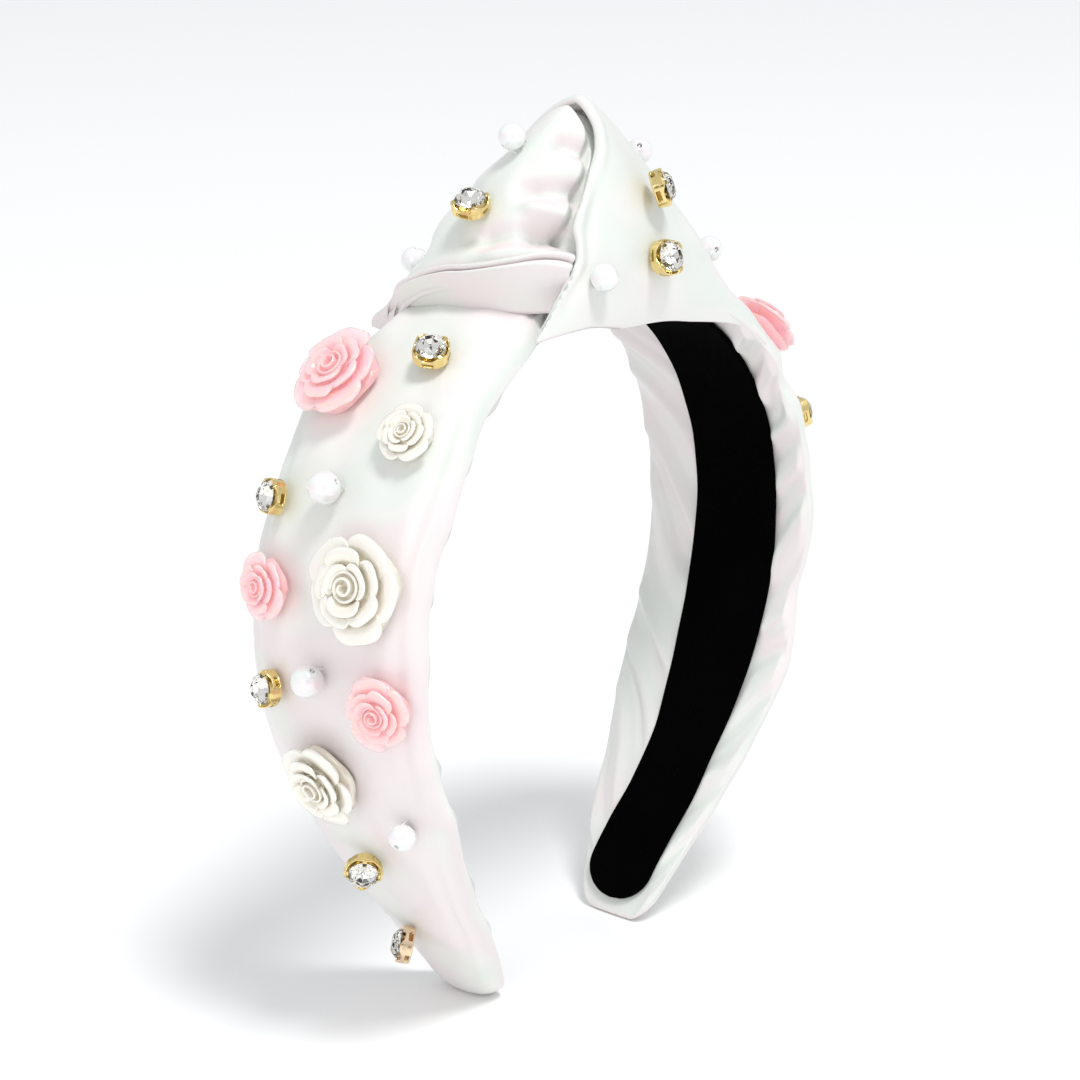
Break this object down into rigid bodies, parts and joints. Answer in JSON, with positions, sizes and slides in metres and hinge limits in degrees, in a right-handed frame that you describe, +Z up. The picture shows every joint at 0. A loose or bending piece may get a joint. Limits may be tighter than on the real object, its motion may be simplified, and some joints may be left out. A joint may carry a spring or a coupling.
{
  "type": "headband",
  "caption": "Padded satin headband with a pointed top knot, a velvet-lined inner face and a scatter of moulded roses, beads and claw-set stones; its sprung arms open to take a head.",
  "frame": {"origin": "on the ground the headband stands on, midway between its two tips", "axes": "+Z up to the crown, X from ear to ear with +X at the right arm, -Y towards the front edge"},
  "size_m": [0.1442, 0.0516, 0.1723],
  "materials": {
    "satin": "warm white satin with a faint pink and green pearl sheen",
    "foam": "soft white foam",
    "core_plastic": "plain moulded plastic",
    "velvet": "black velvet ribbon",
    "ivory_resin": "pearlised ivory",
    "pink_resin": "translucent pink with an iridescent coat",
    "pearl": "white pearl coat",
    "crystal": "clear faceted glass",
    "gold": "polished gold plate",
    "rose_gold": "polished rose-gold plate"
  },
  "bodies": {
    "crown": {"crown_core": "core_plastic", "crown_cover": "satin", "crown_foam": "foam", "crown_lining": "velvet", "knot_left_wing": "satin", "knot_pearl_1": "pearl", "knot_pearl_2": "pearl", "knot_pearl_3": "pearl", "knot_pearl_4": "pearl", "knot_pearl_5": "pearl", "knot_rhinestone_1_cup": "gold", "knot_rhinestone_1_stone": "crystal", "knot_rhinestone_2_cup": "gold", "knot_rhinestone_2_stone": "crystal", "knot_rhinestone_3_cup": "gold", "knot_rhinestone_3_stone": "crystal", "knot_right_panel": "satin", "knot_wrap_strip": "satin"},
    "left_arm": {"left_core": "core_plastic", "left_cover": "satin", "left_foam": "foam", "left_lining": "velvet", "left_pearl_1": "pearl", "left_pearl_2": "pearl", "left_pearl_3": "pearl", "left_rhinestone_1_cup": "gold", "left_rhinestone_1_stone": "crystal", "left_rhinestone_2_cup": "gold", "left_rhinestone_2_stone": "crystal", "left_rhinestone_3_cup": "gold", "left_rhinestone_3_stone": "crystal", "left_rhinestone_4_cup": "gold", "left_rhinestone_4_stone": "crystal", "left_rhinestone_5_cup": "rose_gold", "left_rhinestone_5_stone": "crystal", "left_rose_ivory_large": "ivory_resin", "left_rose_ivory_lower": "ivory_resin", "left_rose_ivory_small": "ivory_resin", "left_rose_pink_back": "pink_resin", "left_rose_pink_front": "pink_resin", "left_rose_pink_upper": "pink_resin"},
    "right_arm": {"right_core": "core_plastic", "right_cover": "satin", "right_foam": "foam", "right_lining": "velvet", "right_pearl_1": "pearl", "right_pearl_2": "pearl", "right_pearl_3": "pearl", "right_rhinestone_1_cup": "gold", "right_rhinestone_1_stone": "crystal", "right_rhinestone_2_cup": "gold", "right_rhinestone_2_stone": "crystal", "right_rose_ivory_large": "ivory_resin", "right_rose_ivory_lower": "ivory_resin", "right_rose_ivory_small": "ivory_resin", "right_rose_pink_back": "pink_resin", "right_rose_pink_upper": "pink_resin"}
  },
  "joints": [
    {"name": "left_arm_flex", "type": "hinge", "parent": "crown", "child": "left_arm", "pos_m": [-0.03191, 0, 0.1349], "axis": [0, 1, 0], "range_deg": [0, 14], "stiffness_Nm_per_rad": 1.1},
    {"name": "right_arm_flex", "type": "hinge", "parent": "crown", "child": "right_arm", "pos_m": [0.03191, 0, 0.1349], "axis": [0, -1, 0], "range_deg": [0, 14], "stiffness_Nm_per_rad": 1.1}
  ]
}
